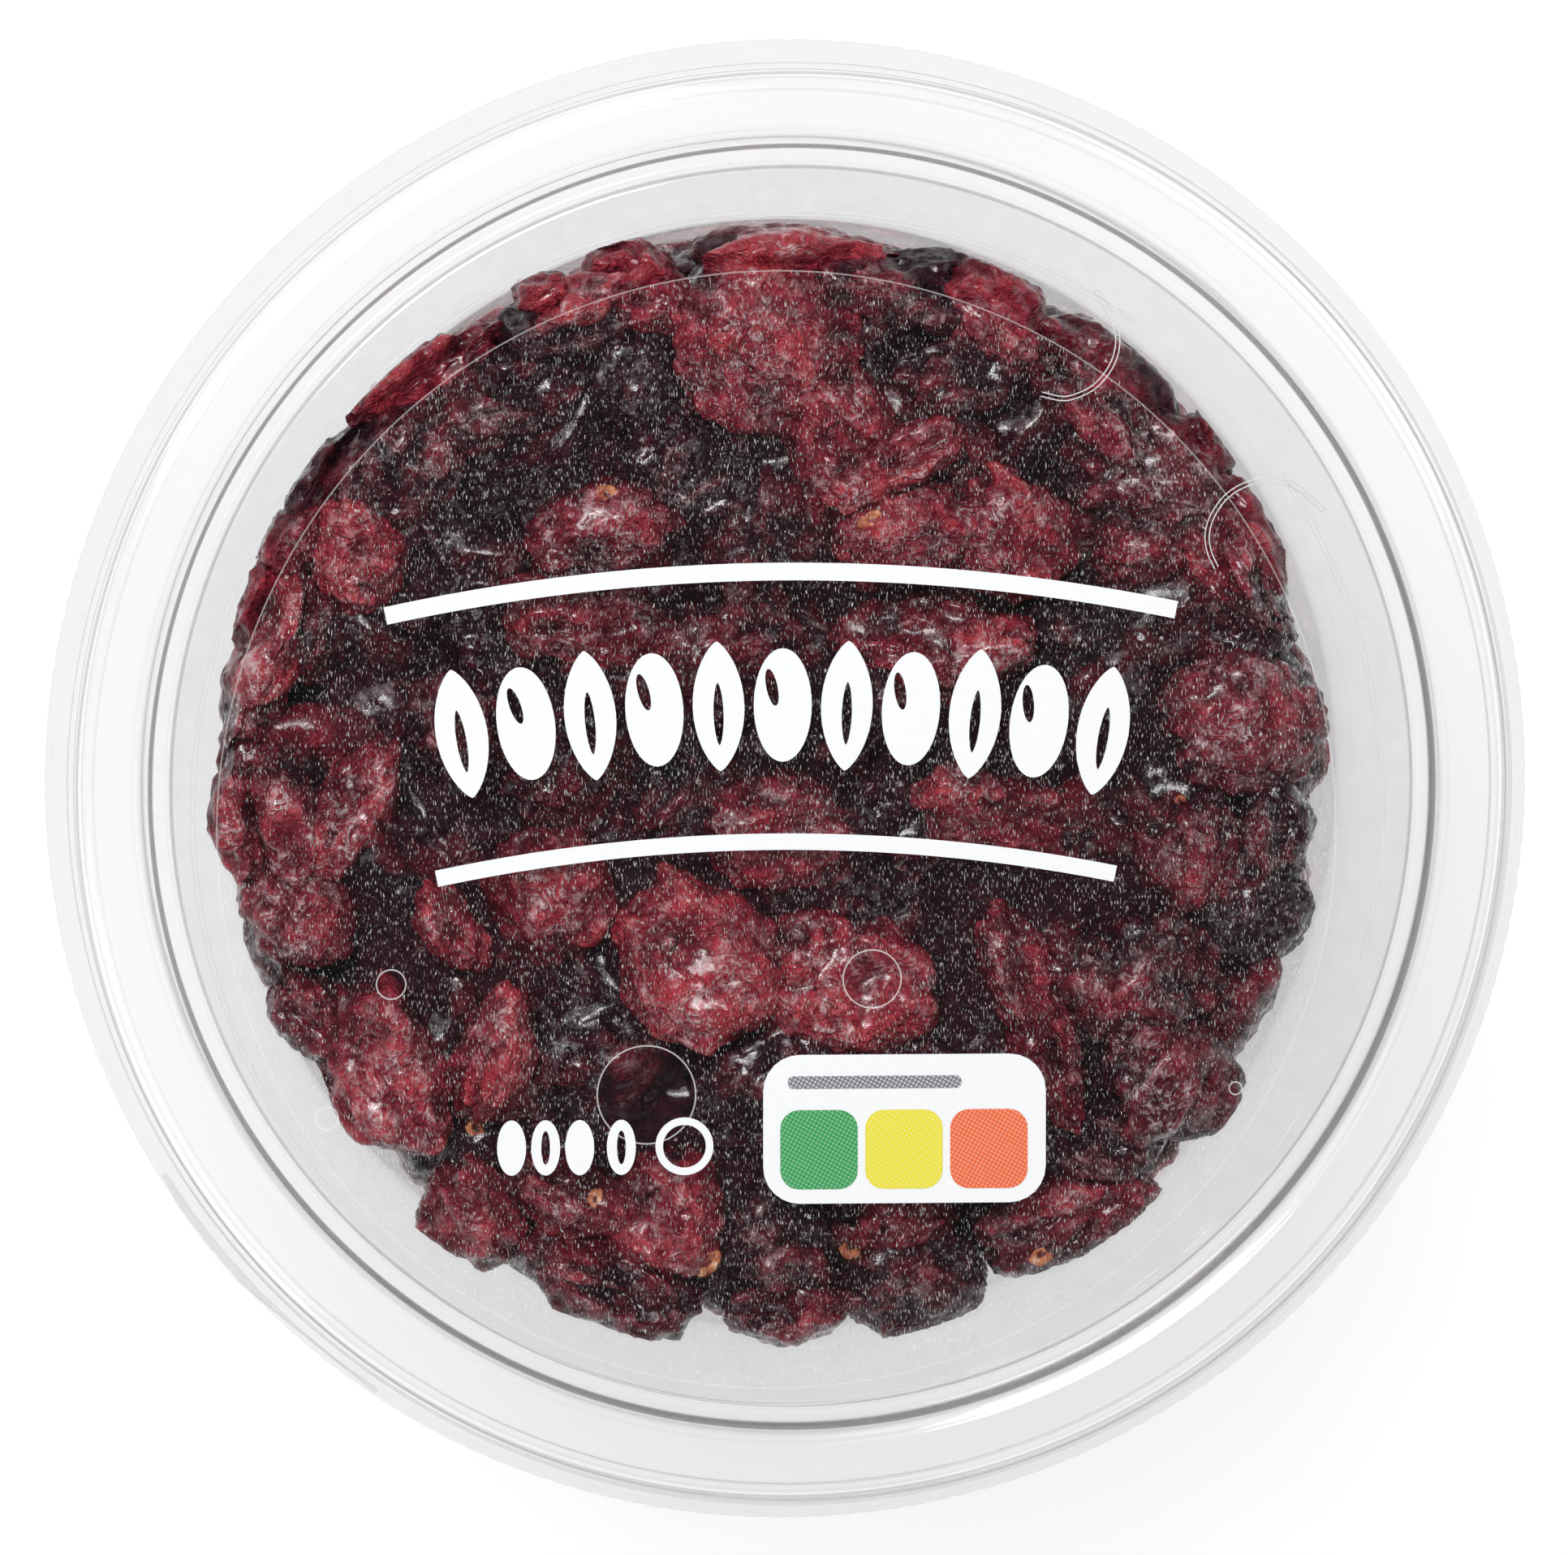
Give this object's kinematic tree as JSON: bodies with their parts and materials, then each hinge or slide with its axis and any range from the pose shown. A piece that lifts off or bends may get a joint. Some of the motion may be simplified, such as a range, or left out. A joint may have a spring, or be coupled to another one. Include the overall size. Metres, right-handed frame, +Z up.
{
  "type": "tub of dried cranberries",
  "caption": "Clear round plastic tub with a clear press-on lid and a clear printed label, filled with dried cranberries.",
  "frame": {"origin": "middle of the tub's foot, on the surface that it stands on", "axes": "+Z up through the lid; +X to the right and +Y to the top of the label as it is read from above"},
  "size_m": [0.118, 0.118, 0.074],
  "materials": {
    "clear_tub": "clear thin thermoformed plastic, glossy",
    "clear_lid": "clear thin thermoformed plastic, glossy, fine ribs round the skirt",
    "label_film": "clear self-adhesive film with fine pale adhesive specks and white and coloured print",
    "dried_cranberry": "wrinkled, sticky, semi-gloss dried fruit skin, crimson to near black"
  },
  "bodies": {
    "root": {"tub": "clear_tub", "lid": "clear_lid", "label": "label_film", "cranberries": "dried_cranberry"}
  },
  "joints": []
}
